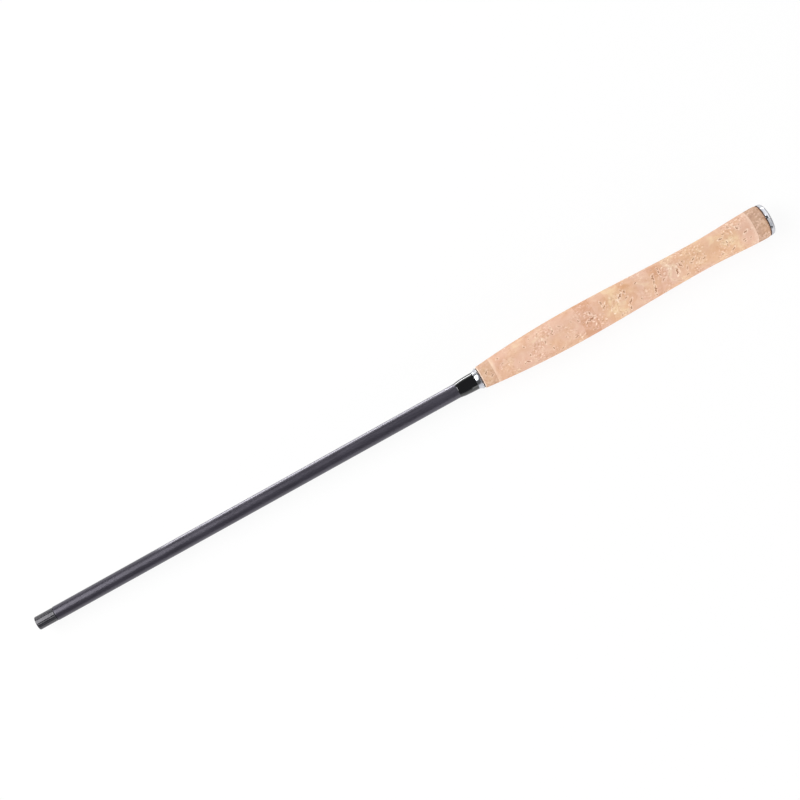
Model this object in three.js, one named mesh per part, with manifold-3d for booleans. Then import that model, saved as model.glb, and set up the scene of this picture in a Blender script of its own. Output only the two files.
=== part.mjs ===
// A closed telescopic tenkara rod: a handle section with its cork grip, six sections nested in it,
// a plug in the mouth and a screw cap in the butt. Millimetres, +Z up.
// The rod's axis runs along X, the tip end towards -X. The origin lies under the middle of the rod,
// on the surface that the swell of the grip rests on.
// Stations are measured along the rod from the mouth of the handle section, towards the butt.

import * as THREE from "three";
import { mergeVertices } from "three/addons/utils/BufferGeometryUtils.js";
import Module from "manifold-3d";

// Clearances
const glueLine = 0.1; // between glued pieces
const seatGap = 0.3; // between pieces that only touch
const stemGap = 0.25; // round the plug's stem in the mouth
const slideGap = 0.06; // round a section pulled out to its stop
const overrun = 2; // how far a cutter stands out of what it cuts
const turnedSides = 24; // flats round each turned piece
const fluteSteps = 4; // facets across one flute of the plug

// Handle section
const mouthRadius = 5.5;
const mouthBore = 4.6;
const mouthEase = 0.25; // small bevel round the mouth
const blankTaper = 0.0007; // growth of a radius for each millimetre towards the butt
const blankInset = 7.3; // from the end of the blank to the seam in front of the butt ring

// Thread winding and winding check
const wrapStation = 340;
const wrapLength = 15.05;
const wrapEdge = 0.12; // thickness where the winding starts
const wrapRamp = 5; // length of the ramp behind its edge
const wrapRampRise = 0.6;
const wrapRearRadius = 6.9;
const checkLength = 4.5;
const checkFrontStep = 0.1; // how far its front stands above the winding
const checkRearRadius = 8.4;
const checkRim = 0.8; // straight lip at the rear
const checkWaist = 1.6; // length over which the flare starts slowly
const checkWaistRise = 0.35;

// Grip: the outline swells, narrows at the waist and flares at the butt
const gripFrontRadius = 8.75;
const swellRadius = 13.1;
const waistRadius = 11.15;
const flareRadius = 13;
const swellShare = 0.345; // places along the grip, from its front
const waistShare = 0.772;
const flareShare = 0.995;
const frontCompositeLength = 10.5;
const corkLength = 221.25;
const corkRingCount = 18;
const rearCompositeLength = 10.6;
const rearRounding = 3.6; // where the rear ring turns in to meet the metal
const rearEdgeDrop = 0.8; // from the flare to the edge at the metal
const corkEase = 0.35; // small chamfer at the front edge of the grip

// Butt ring, with its sleeve over the end of the blank. Its radii keep to the flare of the grip.
const sleeveShare = 0.631;
const threadShare = 0.515;
const capSeatShare = 0.708;
const buttRingStep = 0.5; // how far it stands above the edge of the grip
const buttRingLength = 4.4;
const buttRingLand = 0.3; // flat left on its face, round the cap
const buttRingArcSteps = 5;
const sleeveLength = 16.5;

// Butt cap
const capHeadThickness = 2;
const capStudLength = 6.6;
const capEase = 0.4;
const slotWidth = 1.8;
const slotDepth = 1;
const slotLength = 12;
const ventRadius = 1;
const ventSides = 12;
const oRingSection = 1;
const oRingSides = 8;
const oRingPlay = 0.1; // on each side of the seal, between the cap and its seat
const cushionRadius = 4.6;
const cushionThickness = 4.5;
const cushionPocket = 2.2; // depth of its seat in the cap's stud

// Inner sections
const hollowSections = 5;
const jointOverlap = 71.4; // what stays inside the section round it, when one is pulled out
const firstInnerWall = 0.45;
const innerWallStep = 0.05; // each section's wall is this much thinner than the one round it
const mouthBand = 12; // length of the hoop at each section's mouth
const mouthBandRise = 0.14;
const tipRadius = 0.36;

// Short cord on the tip
const lilianLength = 25;
const lilianRadius = 0.42;
const lilianSleeve = 8; // how far it reaches back over the tip
const lilianWall = 0.15;
const knotRadius = 0.7;
const knotLength = 2.2;
const lilianSides = 12;
const lilianBore = 0.06; // clearance round the tip

// Tip plug
const plugHeadLength = 15.6;
const plugHeadRadius = 5.25;
const plugEase = 0.8;
const plugSeam = 0.1; // between the plug's shoulder and the mouth
const fluteDepth = 0.35;
const fluteCount = 16;
const fluteEndMargin = 1; // length over which the flutes run out at the shoulder
const stemLength = 14;
const stemPocketRadius = 2.2;
const stemPocketDepth = 12.5;
const stemEase = 0.5;

// Radii and stations that follow from the sizes
const checkFrontRadius = wrapRearRadius + checkFrontStep;
const rearEdgeRadius = flareRadius - rearEdgeDrop;
const buttRingRadius = rearEdgeRadius + buttRingStep;
const sleeveRadius = sleeveShare * flareRadius;
const threadBore = threadShare * flareRadius;
const capSeatBore = capSeatShare * flareRadius;
const buttRingRound = buttRingRadius - capSeatBore - buttRingLand;
const capStudRadius = threadBore - seatGap;
const capHeadRadius = capSeatBore - seatGap;
const stemRadius = mouthBore - stemGap;
const checkStation = wrapStation + wrapLength + glueLine;
const gripStation = checkStation + checkLength + glueLine;
const corkStation = gripStation + frontCompositeLength + glueLine;
const corkPitch = corkLength / corkRingCount;
const rearStation = corkStation + corkLength;
const buttStation = rearStation + rearCompositeLength + glueLine;
const buttFace = buttStation + buttRingLength;
const blankLength = buttStation - blankInset;
const capSeatDepth = capHeadThickness + oRingSection + 2 * oRingPlay;
const gripLength = buttStation - glueLine - gripStation;
const rodHeight = Math.max(swellRadius, flareRadius);
const rodMiddle = (buttFace - plugHeadLength) / 2;

const wasm = await Module();
wasm.setup();

const finishes = {
  blank: { color: "#2b2a30", roughness: 0.38, metalness: 0.1 },
  carbon: { color: "#1d1d20", roughness: 0.45, metalness: 0.1 },
  winding: { color: "#0b0b0c", roughness: 0.08, metalness: 0 },
  polishedMetal: { color: "#c9cbd0", roughness: 0.14, metalness: 1 },
  cork: { color: "#e2b795", roughness: 0.85, metalness: 0 },
  composite: { color: "#c39f86", roughness: 0.85, metalness: 0 },
  plug: { color: "#3a3a3d", roughness: 0.6, metalness: 0 },
  rubber: { color: "#161616", roughness: 0.8, metalness: 0 },
  cord: { color: "#b3271f", roughness: 0.7, metalness: 0 },
};

// A turned piece. Its outline is a list of [station, radius], the outside first and towards the butt.
// A radius reaches the middle of each flat, so the piece is as wide as its sizes say.
function turned(outline, sides = turnedSides) {
  const toCorner = 1 / Math.cos(Math.PI / sides);
  const points = outline.map(([station, radius]) => new THREE.Vector2(radius * toCorner, station));
  return new THREE.LatheGeometry(points, sides, Math.PI / sides).rotateZ(-Math.PI / 2);
}

// A turned piece with a bore, whose outline closes on itself.
function turnedRing(outside, bore, sides = turnedSides) {
  return turned([...outside, ...bore, outside[0]], sides);
}

// The same geometry as a solid that can be cut.
function solidOf(geometry) {
  const bare = new THREE.BufferGeometry();
  const source = geometry.index ? geometry.toNonIndexed() : geometry;
  bare.setAttribute("position", source.getAttribute("position"));
  const merged = mergeVertices(bare, 1e-4);
  return new wasm.Manifold(
    new wasm.Mesh({
      numProp: 3,
      vertProperties: merged.attributes.position.array,
      triVerts: new Uint32Array(merged.index.array),
    }),
  );
}

function geometryOf(solid) {
  const mesh = solid.getMesh();
  const geometry = new THREE.BufferGeometry();
  geometry.setAttribute("position", new THREE.BufferAttribute(mesh.vertProperties, 3));
  geometry.setIndex(new THREE.BufferAttribute(mesh.triVerts, 1));
  return geometry;
}

function piece(name, geometry, finish) {
  geometry.computeVertexNormals();
  const mesh = new THREE.Mesh(geometry, new THREE.MeshStandardMaterial(finishes[finish]));
  mesh.name = name;
  return mesh;
}

// Outer radius of the handle section at a station.
function blankRadius(station) {
  return mouthRadius + blankTaper * station;
}

// Radius of the grip: a parabola up to the swell, then two half waves through the waist to the flare,
// and a quarter ellipse at the rear edge.
function gripRadius(station) {
  const along = (station - gripStation) / gripLength;
  if (along <= swellShare) {
    const left = 1 - along / swellShare;
    return swellRadius - (swellRadius - gripFrontRadius) * left * left;
  }
  if (along <= waistShare) {
    const turn = (Math.PI * (along - swellShare)) / (waistShare - swellShare);
    return waistRadius + ((swellRadius - waistRadius) * (1 + Math.cos(turn))) / 2;
  }
  const rise = Math.min(1, (along - waistShare) / (flareShare - waistShare));
  const flare = flareRadius - ((flareRadius - waistRadius) * (1 + Math.cos(Math.PI * rise))) / 2;
  const intoRound = Math.max(0, (along - 1) * gripLength + rearRounding) / rearRounding;
  return flare - (flareRadius - rearEdgeRadius) * (1 - Math.sqrt(Math.max(0, 1 - intoRound ** 2)));
}

function handleBlank() {
  return piece(
    "handle_blank",
    turnedRing(
      [
        [0, mouthRadius - mouthEase],
        [mouthEase, mouthRadius],
        [blankLength, blankRadius(blankLength)],
      ],
      [
        [blankLength, mouthBore + blankTaper * blankLength],
        [0, mouthBore],
      ],
    ),
    "blank",
  );
}

// A bore that clears the blank by the glue line between two stations, rear end first.
function boreOnBlank(front, rear) {
  return [
    [rear, blankRadius(rear) + glueLine],
    [front, blankRadius(front) + glueLine],
  ];
}

function threadWrap() {
  const rear = wrapStation + wrapLength;
  const edge = blankRadius(wrapStation) + glueLine + wrapEdge;
  return piece(
    "thread_wrap",
    turnedRing(
      [
        [wrapStation, edge],
        [wrapStation + wrapRamp / 2, edge + (wrapRampRise * 2) / 3],
        [wrapStation + wrapRamp, edge + wrapRampRise],
        [rear, wrapRearRadius],
      ],
      boreOnBlank(wrapStation, rear),
    ),
    "winding",
  );
}

function windingCheck() {
  const rear = checkStation + checkLength;
  return piece(
    "winding_check",
    turnedRing(
      [
        [checkStation, checkFrontRadius],
        [checkStation + checkWaist, checkFrontRadius + checkWaistRise],
        [rear - checkRim, checkRearRadius],
        [rear, checkRearRadius],
      ],
      boreOnBlank(checkStation, rear),
    ),
    "polishedMetal",
  );
}

function frontComposite() {
  const rear = gripStation + frontCompositeLength;
  return piece(
    "front_composite_ring",
    turnedRing(
      [
        [gripStation, gripRadius(gripStation) - corkEase],
        [gripStation + corkEase, gripRadius(gripStation + corkEase)],
        [(gripStation + rear) / 2, gripRadius((gripStation + rear) / 2)],
        [rear, gripRadius(rear)],
      ],
      boreOnBlank(gripStation, rear),
    ),
    "composite",
  );
}

// The rear rings are bored out for the sleeve of the butt ring, from this station on.
const sleeveStation = buttStation - sleeveLength;

// Bore of a grip ring: on the blank, and stepped out where the sleeve lies.
function gripBore(front, rear) {
  const step = sleeveStation - glueLine;
  const wide = sleeveRadius + glueLine;
  if (rear <= step) return boreOnBlank(front, rear);
  if (front >= step) {
    return [
      [rear, wide],
      [front, wide],
    ];
  }
  return [[rear, wide], [step, wide], ...boreOnBlank(front, step)];
}

function corkRings() {
  return Array.from({ length: corkRingCount }, (_, index) => {
    const front = corkStation + index * corkPitch;
    const rear = front + corkPitch - glueLine;
    return piece(
      `cork_ring_${String(index + 1).padStart(2, "0")}`,
      turnedRing(
        [
          [front, gripRadius(front)],
          [rear, gripRadius(rear)],
        ],
        gripBore(front, rear),
      ),
      "cork",
    );
  });
}

function rearComposite() {
  const rear = rearStation + rearCompositeLength;
  const roundStart = rear - rearRounding;
  const roundMiddle = rear - rearRounding / 3;
  return piece(
    "rear_composite_ring",
    turnedRing(
      [
        [rearStation, gripRadius(rearStation)],
        [roundStart, gripRadius(roundStart)],
        [roundMiddle, gripRadius(roundMiddle)],
        [rear, gripRadius(rear)],
      ],
      gripBore(rearStation, rear),
    ),
    "composite",
  );
}

function buttRing() {
  const blankStop = blankLength + glueLine;
  const roundStart = buttFace - buttRingRound;
  const arc = Array.from({ length: buttRingArcSteps + 1 }, (_, step) => {
    const angle = (Math.PI / 2) * (step / buttRingArcSteps);
    return [
      roundStart + buttRingRound * Math.sin(angle),
      buttRingRadius - buttRingRound * (1 - Math.cos(angle)),
    ];
  });
  return piece(
    "butt_ring",
    turnedRing(
      [[sleeveStation, sleeveRadius], [buttStation, sleeveRadius], [buttStation, buttRingRadius], ...arc],
      [
        [buttFace, capSeatBore],
        [buttFace - capSeatDepth, capSeatBore],
        [buttFace - capSeatDepth, threadBore],
        [blankStop, threadBore],
        [blankStop, blankRadius(blankStop) + glueLine],
        [sleeveStation, blankRadius(blankStop) + glueLine],
      ],
    ),
    "polishedMetal",
  );
}

const capShoulder = buttFace - capHeadThickness;
const studEnd = capShoulder - capStudLength;
const cushionFront = studEnd + cushionPocket - cushionThickness;

function buttCap() {
  const pocketRadius = cushionRadius + glueLine;
  const body = turned([
    [studEnd + cushionPocket, 0],
    [studEnd + cushionPocket, pocketRadius],
    [studEnd, pocketRadius],
    [studEnd, capStudRadius - capEase],
    [studEnd + capEase, capStudRadius],
    [capShoulder, capStudRadius],
    [capShoulder, capHeadRadius],
    [buttFace - capEase, capHeadRadius],
    [buttFace, capHeadRadius - capEase],
    [buttFace, 0],
  ]);
  const slot = new THREE.BoxGeometry(slotDepth + overrun, slotLength, slotWidth);
  slot.translate(buttFace + (overrun - slotDepth) / 2, 0, 0);
  const ventLength = buttFace - studEnd - cushionPocket + 2 * overrun;
  const vent = new THREE.CylinderGeometry(ventRadius, ventRadius, ventLength, ventSides);
  vent.rotateZ(Math.PI / 2).translate(buttFace + overrun - ventLength / 2, 0, 0);
  const cut = solidOf(body).subtract(solidOf(slot)).subtract(solidOf(vent));
  return piece("butt_cap", geometryOf(cut), "polishedMetal");
}

function buttORing() {
  const radius = oRingSection / 2;
  const middle = (capStudRadius + capSeatBore) / 2;
  const station = capShoulder - oRingPlay - radius;
  const section = Array.from({ length: oRingSides + 1 }, (_, step) => {
    const angle = (-2 * Math.PI * step) / oRingSides;
    return [station + radius * Math.cos(angle), middle + radius * Math.sin(angle)];
  });
  return piece("butt_o_ring", turned(section), "rubber");
}

function buttCushion() {
  const rear = cushionFront + cushionThickness - glueLine;
  return piece(
    "butt_cushion",
    turnedRing(
      [
        [cushionFront, cushionRadius],
        [rear, cushionRadius],
      ],
      [
        [rear, ventRadius],
        [cushionFront, ventRadius],
      ],
    ),
    "rubber",
  );
}

// The inner sections stand on the cushion. Each one's butt is as wide as the bore round it allows
// when it is pulled out by the travel, so it comes out to its stop without play.
const sectionButt = cushionFront - glueLine;
const sectionFront = stemLength + seatGap;
const tipFront = sectionFront + lilianLength - stemPocketDepth + seatGap;

function innerSections() {
  const pieces = [];
  const stop = sectionFront + jointOverlap; // where a pulled-out butt stands
  let outerBoreAtStop = mouthBore + blankTaper * stop;
  for (let index = 0; index < hollowSections; index += 1) {
    const wall = firstInnerWall - index * innerWallStep;
    const buttRadius = outerBoreAtStop - slideGap;
    const radiusAt = (station) => buttRadius - blankTaper * (sectionButt - station);
    const bandEnd = sectionFront + mouthBand;
    pieces.push(
      piece(
        `section_${index + 2}`,
        turnedRing(
          [
            [sectionFront, radiusAt(sectionFront) + mouthBandRise],
            [bandEnd, radiusAt(bandEnd) + mouthBandRise],
            [bandEnd, radiusAt(bandEnd)],
            [sectionButt, buttRadius],
          ],
          [
            [sectionButt, buttRadius - wall],
            [sectionFront, radiusAt(sectionFront) - wall],
          ],
        ),
        "carbon",
      ),
    );
    outerBoreAtStop = radiusAt(stop) - wall;
  }
  pieces.push(
    piece(
      "tip_section",
      turned([
        [tipFront, 0],
        [tipFront, tipRadius],
        [sectionButt, outerBoreAtStop - slideGap],
        [sectionButt, 0],
      ]),
      "carbon",
    ),
  );
  return pieces;
}

function lilian() {
  const sleeveEnd = tipFront + lilianSleeve;
  const bore = tipRadius + lilianBore;
  const end = tipFront - seatGap - lilianLength;
  const knotMiddle = end + knotLength / 2;
  return piece(
    "lilian",
    turned(
      [
        [end, 0],
        [end, lilianRadius],
        [knotMiddle, knotRadius],
        [end + knotLength, lilianRadius],
        [tipFront - seatGap - lilianWall, lilianRadius],
        [tipFront, bore + lilianWall],
        [sleeveEnd, bore + lilianWall],
        [sleeveEnd, bore],
        [tipFront - seatGap, bore],
        [tipFront - seatGap, 0],
      ],
      lilianSides,
    ),
    "cord",
  );
}

// The plug's head is fluted along its length: its corners are drawn in by a wave round the axis,
// up to the place near the shoulder where the flutes run out.
function tipPlug() {
  const front = -plugHeadLength;
  const shoulder = -plugSeam;
  const stemEnd = stemLength;
  const pocketEnd = stemEnd - stemPocketDepth;
  const sides = fluteCount * fluteSteps;
  const geometry = turned(
    [
      [front, 0],
      [front, plugHeadRadius - plugEase],
      [front + plugEase, plugHeadRadius],
      [shoulder - fluteEndMargin, plugHeadRadius],
      [shoulder, plugHeadRadius],
      [shoulder, stemRadius],
      [stemEnd - stemEase, stemRadius],
      [stemEnd, stemRadius - stemEase],
      [stemEnd, stemPocketRadius],
      [pocketEnd, stemPocketRadius],
      [pocketEnd, 0],
    ],
    sides,
  );
  const position = geometry.getAttribute("position");
  for (let i = 0; i < position.count; i += 1) {
    const [station, y, z] = [position.getX(i), position.getY(i), position.getZ(i)];
    const radius = Math.hypot(y, z);
    const onFlutes = station > front + plugEase / 2 && station < shoulder - fluteEndMargin / 2;
    if (!onFlutes || radius < stemRadius) continue;
    const wave = (1 - Math.cos(fluteCount * Math.atan2(z, y))) / 2;
    const drawnIn = (radius - fluteDepth * wave) / radius;
    position.setXYZ(i, station, y * drawnIn, z * drawnIn);
  }
  return piece("tip_plug", geometry, "plug");
}

const rod = new THREE.Group();
rod.add(
  handleBlank(),
  threadWrap(),
  windingCheck(),
  frontComposite(),
  ...corkRings(),
  rearComposite(),
  buttRing(),
  buttCap(),
  buttORing(),
  buttCushion(),
  ...innerSections(),
  lilian(),
  tipPlug(),
);
rod.position.set(-rodMiddle, 0, rodHeight);

const object = new THREE.Group();
object.add(rod);

export default object;
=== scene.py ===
import math

import bmesh
import bpy
import numpy as np
from mathutils import Matrix, Vector


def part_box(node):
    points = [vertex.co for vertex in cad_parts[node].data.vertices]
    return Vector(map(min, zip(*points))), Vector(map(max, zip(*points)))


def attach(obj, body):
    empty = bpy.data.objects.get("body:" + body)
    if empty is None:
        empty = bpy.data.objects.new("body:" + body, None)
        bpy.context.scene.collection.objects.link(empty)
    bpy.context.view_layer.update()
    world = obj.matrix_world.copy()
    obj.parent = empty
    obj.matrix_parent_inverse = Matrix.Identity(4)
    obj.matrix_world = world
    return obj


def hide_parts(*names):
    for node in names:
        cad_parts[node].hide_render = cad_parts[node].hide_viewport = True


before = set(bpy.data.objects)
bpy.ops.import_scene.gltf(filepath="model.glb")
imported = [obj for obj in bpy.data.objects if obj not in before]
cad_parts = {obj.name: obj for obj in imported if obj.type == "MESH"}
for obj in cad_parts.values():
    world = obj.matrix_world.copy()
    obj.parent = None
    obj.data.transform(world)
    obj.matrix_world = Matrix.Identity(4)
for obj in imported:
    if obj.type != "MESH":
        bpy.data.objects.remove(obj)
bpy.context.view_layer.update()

mm = 0.001
blankLow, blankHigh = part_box("handle_blank")
mouthX = blankLow.x / mm  # the station 0 in the frame, in millimetres
axisHeight = (blankLow.z + blankHigh.z) / 2 / mm


def stationsOf(cadNode):
    # first and last station of a CAD node
    low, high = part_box(cadNode)
    return low.x / mm - mouthX, high.x / mm - mouthX


def reachOf(cadNode):
    # largest radius of a CAD node
    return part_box(cadNode)[1].y / mm


def report(text):
    print("scene:", text)


def addObject(name, data):
    made = bpy.data.objects.new(name, data)
    bpy.context.scene.collection.objects.link(made)
    return made


def standing(place, right, back):
    # the matrix of a camera or a lamp at a place, from the directions of its right side and its back
    return Matrix.Translation(place) @ Matrix((right, back.cross(right), back)).transposed().to_4x4()


# Camera: set first, at the angle of the photograph
camera = {
    "azimuth": -29.085,
    "elevation": 86.0,
    "target": (0.00361, 0.01458, 0.0131),
    "distance": 1.4155,
    "lens": 85.5,
    "sensor": 36.0,
    "clip": (0.01, 50),
}


def aimCamera():
    # looks along the horizontal direction of the azimuth, tilted down by the elevation
    turn = math.radians(camera["azimuth"])
    tilt = math.radians(camera["elevation"])
    ahead = Vector((-math.sin(turn) * math.cos(tilt), math.cos(turn) * math.cos(tilt), -math.sin(tilt)))
    right = Vector((math.cos(turn), math.sin(turn), 0))
    data = bpy.data.cameras.new("camera")
    data.lens = camera["lens"]
    data.sensor_width = camera["sensor"]
    data.clip_start, data.clip_end = camera["clip"]
    holder = addObject("camera", data)
    holder.matrix_world = standing(Vector(camera["target"]) - ahead * camera["distance"], right, -ahead)
    bpy.context.scene.camera = holder


aimCamera()
report("camera set")


# Materials
def newMaterial(name):
    # an empty node material with one Principled shader
    made = bpy.data.materials.new(name)
    made.use_nodes = True
    tree = made.node_tree
    tree.nodes.clear()
    shader = tree.nodes.new("ShaderNodeBsdfPrincipled")
    out = tree.nodes.new("ShaderNodeOutputMaterial")
    tree.links.new(shader.outputs[0], out.inputs["Surface"])
    return made, tree, shader


def linear(colour):
    # "#rrggbb", red, green and blue, or a grey, as linear light with its alpha
    if isinstance(colour, str):
        parts = [int(colour[at : at + 2], 16) / 255 for at in (1, 3, 5)]
        colour = tuple(part / 12.92 if part <= 0.04045 else ((part + 0.055) / 1.055) ** 2.4 for part in parts)
    return (*colour, 1) if isinstance(colour, tuple) else (colour, colour, colour, 1)


def setInputs(tree, made, inputs):
    # an input is a value, a colour as "#rrggbb" or another node's output; "i2" means the third socket
    for key, value in inputs.items():
        socket = made.inputs[int(key[1:])] if key[0] == "i" and key[1:].isdigit() else made.inputs[key]
        if isinstance(value, bpy.types.NodeSocket):
            tree.links.new(value, socket)
        else:
            socket.default_value = linear(value) if isinstance(value, str) else value


def addNode(tree, kind, settings=None, **inputs):
    made = tree.nodes.new("ShaderNode" + kind)
    for key, value in (settings or {}).items():
        setattr(made, key, value)
    setInputs(tree, made, inputs)
    return made


def calc(tree, operation, a, b=0.0):
    return addNode(tree, "Math", {"operation": operation}, i0=a, i1=b).outputs[0]


def attribute(tree, name):
    return addNode(tree, "Attribute", {"attribute_name": name}).outputs["Fac"]


def objectPlace(tree, along=1):
    # Object coordinates centred on the rod's axis; a small "along" draws a pattern out lengthwise
    place = tree.nodes.new("ShaderNodeTexCoord").outputs["Object"]
    centre = (0, 0, -axisHeight * mm)
    return addNode(tree, "Mapping", i0=place, Location=centre, Scale=(along, 1, 1)).outputs[0]


def noise(tree, place, scale, detail=3.0, roughness=0.5, distortion=0.0):
    return addNode(
        tree, "TexNoise", Vector=place, Scale=scale, Detail=detail, Roughness=roughness, Distortion=distortion
    ).outputs["Fac"]


def ramp(tree, fac, stops):
    # a colour ramp; each stop is (place, colour or grey)
    made = addNode(tree, "ValToRGB", i0=fac)
    band = made.color_ramp
    while len(band.elements) < len(stops):
        band.elements.new(0.5)
    for element, (at, value) in zip(band.elements, stops):
        element.position = at
        element.color = linear(value)
    return made.outputs[0]


def shade(tree, fac, low, high, start=0.3, end=0.7):
    # goes from low to high between two levels of a pattern
    return ramp(tree, fac, [(start, low), (end, high)])


def blendColours(tree, fac, low, high, kind="MIX"):
    settings = {"data_type": "RGBA", "blend_type": kind}
    return addNode(tree, "Mix", settings, i0=fac, i6=low, i7=high).outputs[2]


def bump(tree, shader, height, strength, distance):
    made = addNode(tree, "Bump", Height=height, Strength=strength, Distance=distance)
    tree.links.new(made.outputs[0], shader.inputs["Normal"])


def dress(tree, shader, look, tone, sheen, relief):
    # a pattern for the colour, one for the roughness and one for the relief
    setInputs(tree, shader, {
        "Base Color": shade(tree, tone, look["deepColour"], look["colour"], *look["levels"]),
        "Roughness": shade(tree, sheen, *look["roughness"]),
        **look["inputs"],
    })
    bump(tree, shader, relief, *look["bump"])


# In each finish a scale is that of its pattern, levels are those between which its colour changes, and
# the bump is a strength and a height in metres
blankPaint = {  # satin: a soft mottle, fine lengthwise drag marks and a faint orange peel
    "colour": "#2c2a33", "deepColour": "#232129", "levels": (0.3, 0.7), "roughness": (0.3, 0.4),
    "patterns": ((1, 55, 4), (0.05, 900, 2), (1, 420, 2)), "bump": (0.12, 0.0001),
    "inputs": {"Specular IOR Level": 1.0, "IOR": 1.55, "Specular Tint": (0.9, 0.86, 1.0, 1)},
}
plugRubber = {  # moulded: fine drag marks along it, and a dusty, uneven sheen
    "colour": "#2f2f34", "deepColour": "#212124", "levels": (0.35, 0.68), "roughness": (0.1, 0.17),
    "patterns": ((0.35, 1500, 4, 0.65), (1, 700, 4, 0.7), (0.35, 1500, 4, 0.65)), "bump": (0.15, 0.00002),
    "inputs": {"Specular IOR Level": 0.95, "IOR": 1.5, "Specular Tint": (0.97, 0.95, 1.0, 1)},
}
sealRubber = {
    "colour": "#1b1b1c", "deepColour": "#121213", "levels": (0.35, 0.7), "roughness": (0.55, 0.8),
    "patterns": ((1, 1800, 4, 0.7),) * 3, "bump": (0.3, 0.0001), "inputs": {},
}


def makeNoisy(name, look):
    # the patterns for colour, roughness and relief are noise; each has the share that it keeps of its
    # fineness along the rod, then its scale, detail and roughness
    made, tree, shader = newMaterial(name)
    patterns = [noise(tree, objectPlace(tree, along), *rest) for along, *rest in look["patterns"]]
    dress(tree, shader, look, *patterns)
    return made


carbon = {
    "colour": "#242427", "deepColour": "#161618", "levels": (0.35, 0.65), "roughness": (0.26, 0.38),
    "fibreScale": 2600, "tapePitch": 3.2, "tapeEdge": (0.0, 0.08), "bump": (0.25, 0.00004),
    "inputs": {"Coat Weight": 0.5, "Coat Roughness": 0.12},
}


def makeCarbon():
    # clear coated carbon: lengthwise fibres, and the spiral left by the wrapping tape, whose phase is
    # the place along the rod over the pitch plus the angle round the axis over a full turn
    made, tree, shader = newMaterial("coated_carbon")
    fibres = noise(tree, objectPlace(tree, 0.02), carbon["fibreScale"], 2)
    axes = addNode(tree, "SeparateXYZ", i0=objectPlace(tree)).outputs
    pitches = calc(tree, "MULTIPLY", axes[0], 1000 / carbon["tapePitch"])
    turn = calc(tree, "MULTIPLY", calc(tree, "ARCTAN2", axes[1], axes[2]), 0.5 / math.pi)
    spiral = calc(tree, "PINGPONG", calc(tree, "ADD", pitches, turn), 0.5)
    dress(tree, shader, carbon, fibres, fibres, shade(tree, spiral, 0.0, 1.0, *carbon["tapeEdge"]))
    return made


winding = {
    "colour": "#121215", "deepColour": "#08080a", "levels": (0.1, 0.4), "roughness": (0.035, 0.075),
    "threadPitch": 0.22, "waveScale": 160, "bump": (0.06, 0.0002), "inputs": {"Specular IOR Level": 0.9},
}


def makeWinding():
    # fine thread side by side under clear gloss: one stripe for each turn of thread
    made, tree, shader = newMaterial("thread_gloss")
    place = objectPlace(tree)
    along = addNode(tree, "SeparateXYZ", i0=place).outputs[0]
    stripe = calc(tree, "PINGPONG", calc(tree, "MULTIPLY", along, 1000 / winding["threadPitch"]), 0.5)
    wavy = noise(tree, place, winding["waveScale"], 2)
    dress(tree, shader, winding, stripe, wavy, wavy)
    return made


polishedMetal = {
    # the satin colour is painted shade: it makes the butt ring's rim greyer to stand in for a dim reflection
    "colour": "#d4d5da", "tarnish": "#bcbec6", "satinAndPaintedShade": "#9f9ea0",
    # the glue tones colour old glue in seams, and are also the painted shade on the coin slot's floor
    "glue": ((0.012, 0.007, 0.006), "#4a2c22", (0.3, 0.17, 0.11)),
    "roughness": (0.07, 0.16), "satinRoughness": 0.16, "glueRoughness": 0.5,
    "cloudScale": 240, "hairScale": 260, "glueScale": 1300, "hairline": (0.05, 0.00003),
}


def makePolishedMetal():
    # bright plating with a slight cloudiness and fine marks that run round the rod; one attribute says where
    # it is duller, a satin finish, and where its colour is painted greyer: painted shade for a dim
    # reflection;
    # another says where old glue lies in a seam, and where painted shade darkens the floor of the coin slot
    made, tree, shader = newMaterial("polished_metal")
    place = objectPlace(tree)
    cloud = noise(tree, place, polishedMetal["cloudScale"], 4)
    hairs = noise(tree, objectPlace(tree, 30), polishedMetal["hairScale"], 3, 0.6)
    lumps = noise(tree, place, polishedMetal["glueScale"], 2)
    satinAndPaintedShade, glueStainAndSlotShade = attribute(tree, "satinAndPaintedShade"), attribute(tree, "glueStainAndSlotShade")
    colour = shade(tree, cloud, polishedMetal["tarnish"], polishedMetal["colour"], 0.35, 0.6)
    # painted shade: where the rim is satin its colour turns greyer, standing in for a dim reflection
    colour = blendColours(tree, satinAndPaintedShade, colour, polishedMetal["satinAndPaintedShade"])
    # glue tones; in the coin slot the same tones are painted shade
    glue = ramp(tree, lumps, list(zip((0.35, 0.6, 0.7), polishedMetal["glue"])))
    dull = calc(tree, "MULTIPLY", satinAndPaintedShade, polishedMetal["satinRoughness"])
    dull = calc(tree, "ADD", dull, calc(tree, "MULTIPLY", glueStainAndSlotShade, polishedMetal["glueRoughness"]))
    rough = shade(tree, hairs, *polishedMetal["roughness"], 0.35, 0.75)
    setInputs(tree, shader, {
        "Base Color": blendColours(tree, glueStainAndSlotShade, colour, glue),
        "Roughness": calc(tree, "ADD", rough, dull),
        "Metallic": calc(tree, "SUBTRACT", 1.0, glueStainAndSlotShade),
    })
    bump(tree, shader, hairs, *polishedMetal["hairline"])
    return made


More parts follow.
